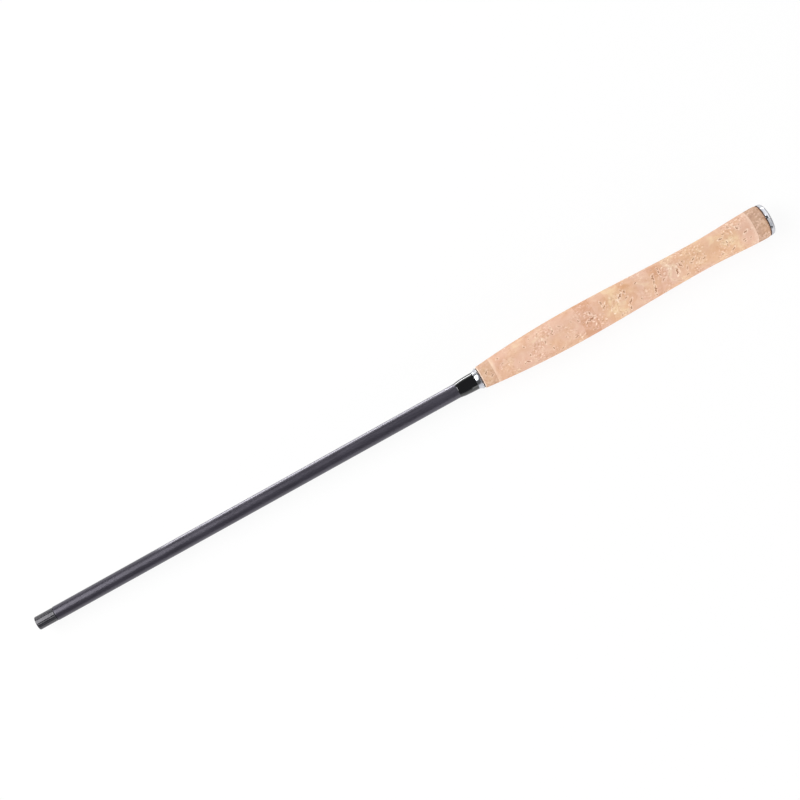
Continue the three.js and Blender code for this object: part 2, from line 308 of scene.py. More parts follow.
naturalCork = {
    "light": "#eed0b6", "body": "#e7bfa8", "pink": "#e3b79f", "dusk": "#d8a588",
    "pit": "#ad7455", "vein": "#cc9a7e", "cream": "#fde8d6",
}
frontPressedCork = {
    "light": "#dbb69f", "body": "#d6ad98", "pink": "#cea28d", "dusk": "#c0947e",
    "pit": "#9f6f55", "vein": "#b98a72", "cream": "#f3dbc8",
}
rearPressedCork = {
    "light": "#dab399", "body": "#cea88f", "pink": "#c39e87", "dusk": "#b6917b",
    "pit": "#9a6c52", "vein": "#b48a70", "cream": "#f0d2bc",
}
corkPattern = {
    "cloudScale": 110, "cellScale": 2400, "veinScale": 260, "veinPatchScale": 95, "fleckScale": 620,
    "busyScale": 75, "warmScale": 48, "warmth": (1.0, 0.985, 0.84),
    "driftScale": 500.0, "grainDrift": 0.0012,  # how far the edges of crushed grains wander, in metres
    "roughness": (0.78, 0.92), "specular": 0.25, "cells": (0.25, 0.00012),
}


def crushedGrains(tree, place, tones, scale):
    # each cell of a Voronoi pattern has its own tone
    drift = addNode(tree, "TexNoise", Vector=place, Scale=corkPattern["driftScale"]).outputs["Color"]
    short = addNode(tree, "VectorMath", {"operation": "SCALE"}, i0=drift, Scale=corkPattern["grainDrift"])
    moved = addNode(tree, "VectorMath", {"operation": "ADD"}, i0=place, i1=short.outputs[0])
    cells = addNode(tree, "TexVoronoi", Vector=moved.outputs[0], Scale=scale)
    tone = addNode(tree, "SeparateColor", i0=cells.outputs["Color"]).outputs[0]
    stops = zip((0.0, 0.14, 0.55, 0.9), ("pit", "pink", "body", "cream"))
    return ramp(tree, tone, [(at, tones[key]) for at, key in stops])


def makeCork(name, tones, grainScale=0, grainShare=0.0):
    # cork: cloudy tone, fine cells, thin veins, and cream and brown flecks in the busier places; the
    # pits are in the mesh: the attribute "pit" says how deep a point lies, "rim" how near the pale
    # edge of a pit it is, and "tone" how dark its ring is
    made, tree, shader = newMaterial(name)
    place = objectPlace(tree)
    size = corkPattern
    cloud = calc(tree, "MULTIPLY", noise(tree, place, size["cloudScale"], 5, 0.6, 0.8), 0.7)
    mixed = calc(tree, "ADD", cloud, calc(tree, "MULTIPLY", attribute(tree, "tone"), 0.3))
    stops = zip((0.4, 0.5, 0.6, 0.72), ("light", "body", "pink", "dusk"))
    colour = ramp(tree, mixed, [(at, tones[key]) for at, key in stops])
    warm = shade(tree, noise(tree, place, size["warmScale"], 2), "#ffffff", size["warmth"], 0.38, 0.62)
    colour = blendColours(tree, 1.0, colour, warm, "MULTIPLY")
    cells = noise(tree, place, size["cellScale"], 2, 0.6)
    colour = blendColours(tree, shade(tree, cells, 0.0, 0.22, 0.35, 0.75), colour, tones["vein"])
    if grainScale:
        colour = blendColours(tree, grainShare, colour, crushedGrains(tree, place, tones, grainScale))
    veins = noise(tree, place, size["veinScale"], 5, 0.62, 1.4)
    veinLine = ramp(tree, veins, [(0.0, 0.0), (0.585, 0.0), (0.625, 0.75), (0.665, 0.0)])
    patch = shade(tree, noise(tree, place, size["veinPatchScale"], 2), 0.0, 1.0, 0.5, 0.62)
    colour = blendColours(tree, calc(tree, "MULTIPLY", veinLine, patch), colour, tones["vein"])
    busy = shade(tree, noise(tree, place, size["busyScale"], 2), 0.0, 1.0, 0.46, 0.6)
    flecks = noise(tree, place, size["fleckScale"], 2, 0.6)
    for key, level in (("cream", (0.0, 0.8, 0.56, 0.66)), ("vein", (0.8, 0.0, 0.34, 0.43))):
        share = calc(tree, "MULTIPLY", shade(tree, flecks, *level), busy)
        colour = blendColours(tree, share, colour, tones[key])
    colour = blendColours(tree, attribute(tree, "rim"), colour, tones["cream"])
    sunk = shade(tree, attribute(tree, "pit"), 0.0, 0.9, 0.05, 0.6)
    setInputs(tree, shader, {
        "Base Color": blendColours(tree, sunk, colour, tones["pit"]),
        "Roughness": shade(tree, cells, *size["roughness"]),
        "Specular IOR Level": size["specular"],
    })
    bump(tree, shader, cells, *size["cells"])
    return made


braidCord = {
    "colour": "#b5281f", "deepColour": "#6f130e", "levels": (0.15, 0.7), "roughness": (0.6, 0.85),
    "fuzzScale": 9000, "bump": (0.3, 0.00003), "inputs": {"Sheen Weight": 0.3},
}


def makeBraidCord():
    # woven cord: the attribute "weave" is high on the crest of each strand
    made, tree, shader = newMaterial("braided_cord")
    fuzz = noise(tree, objectPlace(tree), braidCord["fuzzScale"], 3, 0.7)
    crest = calc(tree, "MULTIPLY", attribute(tree, "weave"), 0.75)
    mixed = calc(tree, "ADD", crest, calc(tree, "MULTIPLY", fuzz, 0.25))
    dress(tree, shader, braidCord, mixed, fuzz, fuzz)
    return made


finishes = {
    "blank": makeNoisy("satin_paint", blankPaint),
    "carbon": makeCarbon(),
    "winding": makeWinding(),
    "metal": makePolishedMetal(),
    "cork": makeCork("natural_cork", naturalCork),
    "frontComposite": makeCork("fine_pressed_cork", frontPressedCork, 680, 0.23),
    "composite": makeCork("pressed_cork", rearPressedCork, 560, 0.34),
    "plug": makeNoisy("moulded_rubber", plugRubber),
    "rubber": makeNoisy("seal_rubber", sealRubber),
    "cord": makeBraidCord(),
}
report("materials made")


# Shapes
def smoothStep(share):
    return share * share * (3 - 2 * share)


def latticeNoise(along, angle, alongStep, angleSteps, seed):
    # smooth noise on a cylinder: random values on a lattice, joined by a smooth step in both
    # directions; the lattice closes on itself round the axis
    rng = np.random.default_rng(seed)
    u = along / alongStep
    v = (angle / (2 * np.pi) % 1) * angleSteps
    rows = int(np.ceil(u.max()) - np.floor(u.min())) + 3
    table = rng.random((rows, angleSteps))
    u = u - np.floor(u.min())
    row, column = np.floor(u).astype(int), np.floor(v).astype(int)
    a, b = smoothStep(u - row), smoothStep(v - column)
    column, beside = column % angleSteps, (column + 1) % angleSteps
    return (
        table[row, column] * (1 - a) * (1 - b) + table[row + 1, column] * a * (1 - b)
        + table[row, beside] * (1 - a) * b + table[row + 1, beside] * a * b
    )


def setAttribute(mesh, name, values):
    mesh.attributes.new(name, "FLOAT", "POINT").data.foreach_set("value", values.astype(np.float32))


def gridMesh(name, stations, radii, angles, capped, values):
    # grids of stations, radii and angles (rows along the outline, columns round the axis) become
    # points x = station, y = radius * sin(angle), z = height + radius * cos(angle); each cell of the
    # grid becomes a face. The outline closes on itself, or both its ends are "capped": closed on the
    # axis with one point each.
    rows, columns = radii.shape
    grids = [stations + mouthX, radii * np.sin(angles), axisHeight + radii * np.cos(angles)]
    points = np.stack(grids, -1).reshape(-1, 3) * mm
    row = np.arange(rows - 1 if capped else rows)[:, None]
    column = np.arange(columns)
    beside = (column + 1) % columns
    here, nextRow = row * columns, (row + 1) % rows * columns
    quads = np.stack([here + column, nextRow + column, nextRow + beside, here + beside], -1)
    corners, starts = quads.reshape(-1), np.arange(row.size * columns) * 4
    if capped:
        first, last = len(points), (rows - 1) * columns
        ends = [(stations[end, 0] + mouthX, 0, axisHeight) for end in (0, -1)]
        points = np.vstack([points, np.array(ends) * mm])
        front = np.stack([np.full(columns, first), column, beside], -1)
        back = np.stack([np.full(columns, first + 1), last + beside, last + column], -1)
        fans = np.vstack([front, back])
        starts = np.concatenate([starts, len(corners) + np.arange(len(fans)) * 3])
        corners = np.concatenate([corners, fans.reshape(-1)])
    mesh = bpy.data.meshes.new(name)
    mesh.vertices.add(len(points))
    mesh.vertices.foreach_set("co", points.astype(np.float32).reshape(-1))
    mesh.loops.add(len(corners))
    mesh.loops.foreach_set("vertex_index", corners.astype(np.int32))
    mesh.polygons.add(len(starts))
    mesh.polygons.foreach_set("loop_start", starts.astype(np.int32))
    mesh.update(calc_edges=True)
    for key, value in (values or {}).items():
        flat = np.broadcast_to(value, (rows, columns)).reshape(-1)
        setAttribute(mesh, key, np.concatenate([flat, np.zeros(len(points) - len(flat))]))
    mesh.validate()
    return mesh


def turned(name, outline, sides, capped=False, shape=None, values=None):
    # carries an outline of (station, radius) round the axis; "shape" may change the grid of radii, and
    # "values" are attributes, with one value for each row or one for each point
    outline = np.array(outline, float)
    stations = np.repeat(outline[:, :1], sides, 1)
    radii = np.repeat(outline[:, 1:2], sides, 1)
    angles = np.repeat(np.linspace(0, 2 * np.pi, sides, endpoint=False)[None, :], len(outline), 0)
    if shape:
        radii = shape(stations, radii, angles)
    return gridMesh(name, stations, radii, angles, capped, values)


def addPiece(mesh, body, slot, cadNode, sharpAngle=32, finish=None):
    # smooth shading, broken where two faces meet at more than the given angle
    mesh.polygons.foreach_set("use_smooth", np.ones(len(mesh.polygons), bool))
    mesh.set_sharp_from_angle(angle=math.radians(sharpAngle))
    mesh.materials.append(finishes[finish or slot])
    piece = addObject(mesh.name, mesh)
    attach(piece, body)
    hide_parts(cadNode)


def perRow(values):
    return np.array(values, float)[:, None]


def steps(first, last, count):
    return np.linspace(first, last, count)


def arc(station, radius, along, across, fromTurn, toTurn, count):
    # points on part of an ellipse round (station, radius); turns in degrees from the butt's side
    turn = np.radians(steps(fromTurn, toTurn, count))
    return [(station + along * np.cos(t), radius + across * np.sin(t)) for t in turn]


def frontEdge(station, radius, ease, count):
    # a rounded edge that looks towards the mouth
    return arc(station + ease, radius - ease, ease, ease, 180, 90, count)


def rearEdge(station, radius, ease, count):
    # a rounded edge that looks towards the butt
    return arc(station - ease, radius - ease, ease, ease, 90, 0, count)


# Handle section
handleShape = {
    "mouthRadius": 5.5, "mouthBore": 4.6, "taper": 0.0007, "mouthEase": 0.16, "boreEase": 0.2,
    "sides": 120, "rows": 90, "boreRows": 24,
}


def blankRadius(station):
    return handleShape["mouthRadius"] + handleShape["taper"] * station


def makeHandle():
    # a straight taper, with its mouth rounded over to the bore
    g = handleShape
    front, rear = stationsOf("handle_blank")
    outline = frontEdge(front, blankRadius(0), g["mouthEase"], 6)
    outline += [(s, blankRadius(s)) for s in steps(front + 1, rear, g["rows"])]
    outline += [(s, g["mouthBore"] + g["taper"] * s) for s in steps(rear, front + 1, g["boreRows"])]
    outline += [(front + g["boreEase"], g["mouthBore"]), (front, g["mouthBore"] + g["boreEase"])]
    addPiece(turned("rod_blank", outline, g["sides"]), "handle", "blank", "handle_blank")


wrapShape = {
    "rearRadius": 6.9, "edgeRise": 0.22, "edgeLength": 0.5, "rampLength": 5.0, "rampRise": 0.6,
    "seat": 0.02, "frontSeat": 0.005, "sides": 120, "rows": 60,
}


def makeWrap():
    g = wrapShape
    front, rear = stationsOf("thread_wrap")
    along = steps(0, rear - front, g["rows"])
    base = blankRadius(front) + g["seat"]
    edge = base + g["edgeRise"] * np.sin(np.clip(along / g["edgeLength"], 0, 1) * np.pi / 2)
    climb = g["rampRise"] * smoothStep(np.clip(along / g["rampLength"], 0, 1))
    rest = np.clip((along - g["rampLength"]) / (along[-1] - g["rampLength"]), 0, 1)
    gain = g["rearRadius"] - (base + g["edgeRise"] + g["rampRise"])
    outline = list(zip(front + along, edge + climb + gain * np.sin(rest * np.pi / 2)))
    outline += [(rear, blankRadius(rear) + g["seat"]), (front, blankRadius(front) + g["frontSeat"])]
    addPiece(turned("gloss_winding", outline, g["sides"]), "handle", "winding", "thread_wrap")


checkShape = {
    "frontRadius": 7.0, "rearRadius": 8.4, "lip": 0.4, "rim": 0.6, "edge": 0.16, "groove": 0.07,
    "flareDrop": 0.04, "flareGap": 0.25, "seam": 0.65, "seamRadius": 7.8, "seat": 0.05, "sides": 144,
}


def makeCheck():
    # a rounded lip, a hollow flare that grows with the square of the way along, a hair groove, a rim,
    # and behind it a dark seam where the glue has been wiped off
    g = checkShape
    front, end = stationsOf("winding_check")
    lip, low, high = g["lip"], g["frontRadius"], g["rearRadius"]
    rear = end - g["seam"]
    rim = rear - g["rim"]
    outline = arc(front + lip, low - g["edge"], lip, g["edge"], 180, 90, 9)
    share = steps(0, 1, 26)[1:]
    flare = low + (high - low - g["flareDrop"]) * (0.75 * share + 0.25 * share * share)
    outline += list(zip(front + lip + share * (rim - g["flareGap"] - front - lip), flare))
    outline += [(rim - 0.12, high - g["groove"] - 0.06), (rim, high - 0.02)]
    outline += rearEdge(rear, high, g["edge"], 6)
    outline += [(rear + 0.02, g["seamRadius"]), (end, g["seamRadius"])]
    outline += [(s, blankRadius(s) + g["seat"]) for s in (end, front)]
    glueStainAndSlotShade = perRow([s > rear + 0.01 for s, _ in outline])
    mesh = turned("bright_check", outline, g["sides"], values={"glueStainAndSlotShade": glueStainAndSlotShade})
    addPiece(mesh, "handle", "metal", "winding_check", sharpAngle=24)


# Grip: a parabola up to the swell, half waves through the waist to the flare, and a quarter ellipse
# at the rear edge
gripShape = {
    "frontRadius": 8.75, "swellRadius": 13.1, "waistRadius": 11.15, "flareRadius": 13.0,
    "swellShare": 0.345, "waistShare": 0.772, "flareShare": 0.995,
    "rearRounding": 3.6, "rearDrop": 0.8, "frontChamfer": 0.35,
}
gripStation = stationsOf("front_composite_ring")[0]
gripLength = stationsOf("rear_composite_ring")[1] - gripStation


def gripRadius(station):
    g = gripShape
    along = np.clip((station - gripStation) / gripLength, 0, 1)
    left = 1 - along / g["swellShare"]
    toSwell = g["swellRadius"] - (g["swellRadius"] - g["frontRadius"]) * left * left
    wave = np.pi * (along - g["swellShare"]) / (g["waistShare"] - g["swellShare"])
    toWaist = g["waistRadius"] + (g["swellRadius"] - g["waistRadius"]) * (1 + np.cos(wave)) / 2
    rise = np.clip((along - g["waistShare"]) / (g["flareShare"] - g["waistShare"]), 0, 1)
    toFlare = g["flareRadius"] - (g["flareRadius"] - g["waistRadius"]) * (1 + np.cos(np.pi * rise)) / 2
    intoRound = np.clip((along - 1) * gripLength + g["rearRounding"], 0, None) / g["rearRounding"]
    toFlare = toFlare - g["rearDrop"] * (1 - np.sqrt(np.clip(1 - intoRound**2, 0, 1)))
    return np.where(along <= g["swellShare"], toSwell, np.where(along <= g["waistShare"], toWaist, toFlare))


# Pits and pale streaks worth placing one by one: place along the grip, angle, length, slant from the
# rod's line, strength as a share
placedPits = [
    (4.7, 4, 3.1, 60, 0.6), (8.1, -20, 2.4, 10, 0.55), (18.8, 5, 1.2, 0, 0.5), (26.2, -65, 1.4, -20, 0.5),
    (30.0, -24, 1.2, -30, 0.45), (38.3, 18, 1.8, -60, 0.65), (39.8, -20, 1.6, 50, 0.6),
    (51.5, 38, 1.5, -20, 0.6), (53.8, -4, 2.6, -88, 0.6), (56.6, -20, 1.2, -20, 0.4),
    (62.1, 17, 2.2, 72, 0.7), (62.5, 32, 1.6, -88, 0.5), (69.6, -23, 1.4, -40, 0.5),
    (77.4, 13, 1.4, -88, 0.5), (82.7, 4, 1.6, -88, 0.65), (92.2, -11, 5.9, 5, 0.75),
    (93.0, 8, 2.7, -63, 0.7), (91.7, -53, 2.2, -31, 0.6), (94.7, 35, 1.6, -88, 0.5),
    (103.8, 20, 2.7, -75, 0.7), (104.6, 3, 3.3, 52, 0.6), (109.9, -12, 1.2, -24, 0.5),
    (118.6, 9, 4.1, 40, 1.0), (122.8, -6, 1.8, 20, 0.7), (123.1, -50, 2.5, 88, 1.0),
    (123.2, 16, 2.2, -88, 0.9), (124.3, -25, 4.1, 42, 0.7), (132.6, -35, 1.4, 15, 0.85),
    (133.9, 25, 1.6, -26, 0.9), (144.9, -59, 2.2, -88, 0.8), (145.3, -30, 4.4, 80, 0.8),
    (146.2, -5, 1.6, 20, 0.75), (146.9, 9, 3.3, 86, 0.8), (153.4, 34, 2.2, -80, 0.8),
    (153.1, 20, 2.1, 70, 0.85), (153.2, 6, 1.8, -85, 0.7), (153.7, -15, 2.5, 30, 0.55),
    (165.6, -12, 4.8, 76, 0.9), (169.8, 3, 3.4, -58, 0.75), (172.2, 11, 2.2, -14, 0.65),
    (173.6, -20, 2.5, 70, 0.6), (177.9, -10, 1.9, -42, 0.75), (202.5, -42, 1.9, -34, 0.7),
    (205.1, 15, 2.7, 0, 0.95), (208.4, -7, 2.1, 73, 0.8), (208.7, 27, 1.8, -85, 0.6),
    (208.2, -18, 1.4, -80, 0.5), (212.6, -16, 1.5, 60, 0.5), (215.0, 44, 2.5, -74, 0.9),
    (220.2, 20, 2.6, -64, 1.0), (221.5, -36, 1.6, -27, 0.75), (224.4, -6, 3.0, 22, 0.9),
    (226.3, -32, 1.4, -18, 0.7),
]
placedStreaks = [
    (99.2, -12, 2.0, 80, 1.0), (103.4, 8, 1.8, 60, 0.8), (109.8, -36, 2.0, -30, 0.9),
    (106.5, 14, 4.2, 50, 0.8), (108.5, -20, 3.6, 70, 0.8), (115.5, -1, 5.4, -63, 1.0),
    (117.7, 13, 2.8, 57, 1.0), (148.5, 24, 2.4, -10, 0.9), (156.7, 28, 3.0, 32, 1.0),
    (156.0, 2, 2.2, -45, 0.8), (162.1, 22, 3.4, -65, 0.9), (162.2, 8, 2.6, 80, 0.9),
    (167.5, -14, 4.2, 78, 1.0), (212.3, -5, 2.8, 13, 0.9), (215.0, 15, 4.6, -80, 0.7),
]
pitShape = {
    "depth": 0.07,
    "seed": 700,
    "frontMargin": 10.6,  # how much of the front of the grip has no drawn pits
    "drawn": 300,
    "seenSide": (-75, 75),  # angles that face up, where only the placed pits and a few more lie
    "seenShare": 0.35,
}


def listPits():
    # the placed pits with a few small ones beside each, and more drawn at random, most of them on the
    # underside
    rng = np.random.default_rng(pitShape["seed"])
    front, rear = gripStation + pitShape["frontMargin"], stationsOf("rear_composite_ring")[0]
    low, high = pitShape["seenSide"]
    placed = [(gripStation + along, *rest) for along, *rest in placedPits]
    drawn = []
    for station, angle, length, slant, share in placed:
        for _ in range(rng.integers(1, 4)):
            drawn.append((
                station + rng.normal(0, 1.7), angle + rng.normal(0, 8), rng.uniform(0.5, 1.3),
                slant + rng.normal(0, 40), share * rng.uniform(0.25, 0.55),
            ))
    for _ in range(pitShape["drawn"]):
        angle = rng.uniform(-180, 180)
        pit = (rng.uniform(front, rear), angle, rng.gamma(4, 0.5), rng.normal(30, 45), rng.uniform(0.35, 0.9))
        if not low < angle < high or rng.random() < pitShape["seenShare"]:
            drawn.append(pit)
    return placed + drawn


pits = listPits()
corkNoise = {  # step along the rod, steps round it and seed
    "pitEdge": (0.45, 180, 11),
    "paleEdge": (1.2, 36, 17),
    "unevenness": (1.6, 40, 23),
    "glueSpecks": (0.45, 96, 31),
}


def slanted(stations, angles, radius, station, angle, slant):
    # distances from a place on the grip, along and across a line that is turned by the slant
    across = (angles - math.radians(angle) + np.pi) % (2 * np.pi) - np.pi
    dx, dy = stations - station, across * radius
    c, s = math.cos(math.radians(slant)), math.sin(math.radians(slant))
    return dx * c + dy * s, -dx * s + dy * c


def pitField(stations, angles, radius):
    # how deep each point lies in a pit, from 0 to 1: an ellipse round each pit, roughened by noise;
    # and how near it is to the pale edge that surrounds the pit
    depth, edge = np.zeros_like(stations), np.zeros_like(stations)
    rough = latticeNoise(stations, angles, *corkNoise["pitEdge"]) - 0.5
    low, high = stations.min() - 4, stations.max() + 4
    for station, angle, length, slant, share in pits:
        if not low < station < high:
            continue
        u, v = slanted(stations, angles, radius, station, angle, slant)
        v = v + 0.3 * np.sin(u * 2.6 + station)
        reach = 1 - (1.75 * u / length) ** 2 - (v / (0.3 + 0.09 * length)) ** 2 + 1.2 * rough
        depth = np.maximum(depth, share * np.clip(reach, 0, 1) ** 0.7)
        edge = np.maximum(edge, share * np.clip(1 - np.abs(reach + 1.1) / 1.2, 0, 1))
    for along, angle, length, slant, share in placedStreaks:
        u, v = slanted(stations, angles, radius, gripStation + along, angle, slant)
        reach = 1 - (2 * u / length) ** 2 - (v / 0.55) ** 2 + 1.6 * rough
        edge = np.maximum(edge, share * np.clip(reach, 0, 1))
    return depth, edge * (depth < 0.1)


paleEnds = {  # end of the ring, width and strength of its pale edge
    "front_composite_ring": ("front", 0.75, 1.15),
    "cork_ring_01": ("front", 2.6, 0.36),
    "cork_ring_18": ("rear", 3.0, 0.3),
}
corkFace = {
    "rows": 40, "sides": 260, "seam": 0.06, "seamReach": 0.05, "swell": 0.03,
    "glueLine": 0.1, "sleeveBore": 8.3, "glueSoak": 1.6,
}
ringTones = [
    0.74, 0.56, 0.6, 0.72, 0.7, 0.66, 1.1, 0.67, 0.36, 0.68, 0.58, 0.86, 0.5, 0.6, 0.52, 0.46, 0.5, 0.66,
]


def gripRing(name, cadNode, slot, tone, finish=None, frontEase=corkFace["seam"]):
    # the grip's outline between two stations, each point sunk by the pits and by a fine unevenness; at
    # a glued seam a ring reaches a little further than its CAD node
    g = corkFace
    front, rear = stationsOf(cadNode)
    rear += g["seamReach"]
    if frontEase == g["seam"]:
        front -= g["seamReach"]
    along = np.concatenate([[front], steps(front + frontEase, rear - g["seam"], g["rows"]), [rear]])
    sleeve = stationsOf("butt_ring")[0]

    def boreRadius(station):
        return g["sleeveBore"] if station > sleeve else blankRadius(station) + g["glueLine"]

    inner = [(s, boreRadius(s)) for s in (rear, front)]
    if front < sleeve < rear:
        inner[1:1] = [(sleeve, g["sleeveBore"]), (sleeve, boreRadius(sleeve))]
    outline = list(zip(along, gripRadius(along))) + inner
    values = {"tone": np.full((len(outline), 1), tone)}
    values["pit"], values["rim"] = np.zeros((2, len(outline), g["sides"]))

    def shape(stations, radii, angles):
        face = slice(0, len(along))
        stations, angles = stations[face], angles[face]
        depth, edge = pitField(stations, angles, radii[face])
        values["pit"][face], values["rim"][face] = depth, edge
        if cadNode in paleEnds:
            end, width, strength = paleEnds[cadNode]
            inwards = np.abs(stations - (front if end == "front" else rear))
            broken = 0.55 + 0.9 * latticeNoise(stations, angles, *corkNoise["paleEdge"])
            pale = strength * broken * np.clip(1.3 - inwards / width, 0, 1)
            values["rim"][face] = np.clip(np.maximum(edge, pale), 0, 1)
        if cadNode == "rear_composite_ring":
            # glue has soaked into the last millimetres, in specks
            brown = np.clip(1 - (rear - stations) / g["glueSoak"], 0, 1) ** 0.7
            specks = latticeNoise(stations, angles, *corkNoise["glueSpecks"])
            values["pit"][face] = np.maximum(depth, np.clip(brown * specks * 1.5 - 0.35, 0, 0.8))
        uneven = latticeNoise(stations, angles, *corkNoise["unevenness"]) - 1
        radii[face] += g["swell"] * uneven - pitShape["depth"] * depth
        radii[0] -= frontEase
        radii[len(along) - 1] -= g["seam"]
        return radii

    mesh = turned(name, outline, g["sides"], shape=shape, values=values)
    addPiece(mesh, "handle", slot, cadNode, sharpAngle=60, finish=finish)


def makeGrip():
    chamfer = gripShape["frontChamfer"]
    gripRing("grip_front_ring", "front_composite_ring", "composite", 0.5, "frontComposite", chamfer)
    for index, tone in enumerate(ringTones, 1):
        gripRing(f"grip_cork_{index:02d}", f"cork_ring_{index:02d}", "cork", tone)
    gripRing("grip_rear_ring", "rear_composite_ring", "composite", 0.6)


makeHandle()
makeWrap()
makeCheck()
makeGrip()
report("handle, winding and grip made")


# Butt ring and screw cap
threadShape = {"pitch": 1.25, "depth": 0.42, "studCrest": 6.52, "boreCrest": 6.66, "boreShare": 0.9}


def threadCut(first, last, share=1.0):
    # the shape function that cuts the thread between two rows: right-handed, its phase is the station
    # over the pitch plus the angle over a full turn, and it rises and falls in straight flanks with
    # rounded crests
    def shape(stations, radii, angles):
        rows = slice(first, last)
        phase = (stations[rows] / threadShape["pitch"] + angles[rows] / (2 * np.pi)) % 1
        flank = np.clip(np.abs(phase - 0.5) * 2.6 - 0.15, 0, 1)
        radii[rows] -= threadShape["depth"] * (1 - smoothStep(flank)) * share
        return radii

    return shape


ringShape = {
    "radius": 12.7, "edge": 0.14, "seam": 0.45, "seamDepth": 0.35, "grooveWidth": 0.34, "grooveDepth": 0.16,
    "rimWidth": 1.15, "rounding": 2.6, "land": 0.6, "headGap": 0.3, "seatDepth": 3.2, "sleeve": 8.19,
    "glueLine": 0.1, "sides": 168,
}


def makeButtRing():
    # a dark seam, a bright band that starts to roll over, a hair groove, then a duller rim down to the
    # face, whose greyer colour is painted shade that stands in for a dim reflection; a bore with a screw
    # thread inside, and the sleeve that goes over the end of the blank. The roll is a quarter of an
    # ellipse, and the groove is a parabola cut into it
    g = ringShape
    front, face = stationsOf("butt_ring")
    seam = stationsOf("rear_composite_ring")[1] + g["glueLine"]
    capHead = reachOf("butt_cap")
    radius, land, headBore = g["radius"], capHead + g["land"], capHead + g["headGap"]
    sunk = radius - g["seamDepth"]
    bandStart = seam + g["seam"]
    outline = [(front, g["sleeve"]), (seam - 0.05, g["sleeve"]), (seam - 0.05, sunk), (bandStart, sunk)]
    outline += frontEdge(bandStart, radius, g["edge"], 5)
    rim = face - g["rimWidth"]
    groove = (rim - g["grooveWidth"] + rim) / 2
    roll = np.array(arc(face - g["rounding"], land, g["rounding"], radius - land - 0.02, 90, 0, 60))
    inGroove = np.clip(1 - ((roll[:, 0] - groove) / (g["grooveWidth"] / 2)) ** 2, 0, 1)
    roll[:, 1] -= g["grooveDepth"] * inGroove
    seat, boreFront = face - g["seatDepth"], stationsOf("handle_blank")[1] + g["glueLine"]
    outline += roll.tolist() + [(face, headBore + 0.15), (face - 0.12, headBore)]
    outline += [(seat + 0.1, headBore), (seat, headBore - 0.1)]
    threadStart = len(outline)
    outline += [(s, threadShape["boreCrest"]) for s in steps(seat, boreFront, 74)]
    threadEnd = len(outline)
    outline += [(s, blankRadius(s) + g["glueLine"]) for s in (boreFront, front)]
    edges = (rim - 0.1, rim + 0.1)
    values = {
        "glueStainAndSlotShade": perRow([seam - 0.1 < s < bandStart + 0.01 and r > sunk - 0.01 for s, r in outline]),
        # painted shade: from the groove on, the rim is satin and painted greyer, standing in for a dim
        # reflection
        "satinAndPaintedShade": perRow([np.interp(s, edges, (0, 1)) if r > headBore else 0 for s, r in outline]),
    }
    shape = threadCut(threadStart + 2, threadEnd - 2, threadShape["boreShare"])
    mesh = turned("butt_fitting", outline, g["sides"], shape=shape, values=values)
    addPiece(mesh, "handle", "metal", "butt_ring", sharpAngle=28)


capShape = {
    # one value is the strength of the painted shade at the floor of the coin slot
    "ease": 0.35, "frontEase": 0.15, "thickness": 2.0, "neck": 6.1, "slot": (12.0, 1.8, 1.0), "vent": 1.0,
    "slotShade": 0.8, "cushion": 4.7, "sides": 120,
}


def boxMesh(low, high):
    corners = np.stack(np.meshgrid(*zip(low, high), indexing="ij"), -1).reshape(-1, 3)
    faces = [(0, 1, 3, 2), (4, 6, 7, 5), (0, 4, 5, 1), (2, 3, 7, 6), (0, 2, 6, 4), (1, 5, 7, 3)]
    mesh = bpy.data.meshes.new("box")
    mesh.from_pydata((corners * mm).tolist(), [], faces)
    return mesh


def cutAway(name, mesh, cutter):
    # the mesh less the cutter, worked out by an exact boolean and kept as a plain mesh of triangles
    holder, helper = addObject("cut_body", mesh), addObject("cutter", cutter)
    cut = holder.modifiers.new("cut", "BOOLEAN")
    cut.operation = "DIFFERENCE"
    cut.solver = "EXACT"
    cut.object = helper
    bpy.context.view_layer.update()
    result = bpy.data.meshes.new_from_object(holder.evaluated_get(bpy.context.evaluated_depsgraph_get()))
    result.name = name
    bpy.data.objects.remove(holder)
    bpy.data.objects.remove(helper)
    work = bmesh.new()
    work.from_mesh(result)
    bmesh.ops.remove_doubles(work, verts=work.verts, dist=0.0001 * mm)
    bmesh.ops.triangulate(work, faces=work.faces, quad_method="BEAUTY", ngon_method="BEAUTY")
    work.to_mesh(result)
    work.free()
    return result


